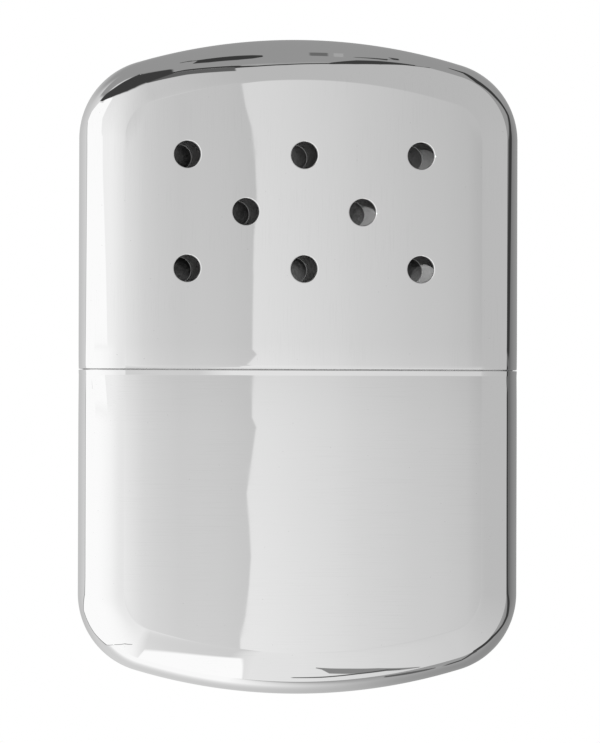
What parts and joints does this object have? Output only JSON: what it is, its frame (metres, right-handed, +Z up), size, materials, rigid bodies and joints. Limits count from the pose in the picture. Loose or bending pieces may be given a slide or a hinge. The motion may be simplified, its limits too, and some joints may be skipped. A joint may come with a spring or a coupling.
{
  "type": "catalytic hand warmer",
  "caption": "Flat pocket hand warmer: a polished metal tank filled with wadding, a neck with a lift-off catalytic burner, and a vented lid that slides over a collar.",
  "frame": {"origin": "Centre of the flat back face that the warmer lies on, midway between its sides and between its two rounded ends", "axes": "+Z up out of the front face, +Y along the length towards the lid's rounded end, +X to the right seen from the front"},
  "size_m": [0.0666, 0.0988, 0.0129],
  "materials": {
    "polished_shell": "mirror-polished bright plating with faint wipe marks",
    "inner_sheet": "plain drawn sheet with fine draw lines",
    "burner_metal": "satin plated, slightly heat-tinted at the windows",
    "gauze_wire": "dull woven steel wire",
    "glass_fibre_mat": "matted grey-white glass fibre carrying the catalyst",
    "cotton": "loose white wadding",
    "felt": "dense pressed felt"
  },
  "bodies": {
    "tank": {"tank_shell": "polished_shell", "collar_sleeve": "inner_sheet", "deck_plate": "inner_sheet", "filler_neck": "inner_sheet", "neck_felt": "felt", "cotton_pad_front": "cotton", "cotton_pad_middle": "cotton", "cotton_pad_rear": "cotton", "cotton_top_wad": "cotton"},
    "lid": {"lid_shell": "polished_shell"},
    "burner": {"burner_cap": "burner_metal", "burner_skirt": "burner_metal", "gauze_front": "gauze_wire", "gauze_rear": "gauze_wire", "mat_support_gauze": "gauze_wire", "catalyst_mat": "glass_fibre_mat"}
  },
  "joints": [
    {"name": "lid_pull", "type": "slide", "parent": "tank", "child": "lid", "axis": [0, 1, 0], "range_m": [0, 0.055]},
    {"name": "burner_lift", "type": "slide", "parent": "tank", "child": "burner", "axis": [0, 1, 0], "range_m": [0, 0.02]}
  ]
}
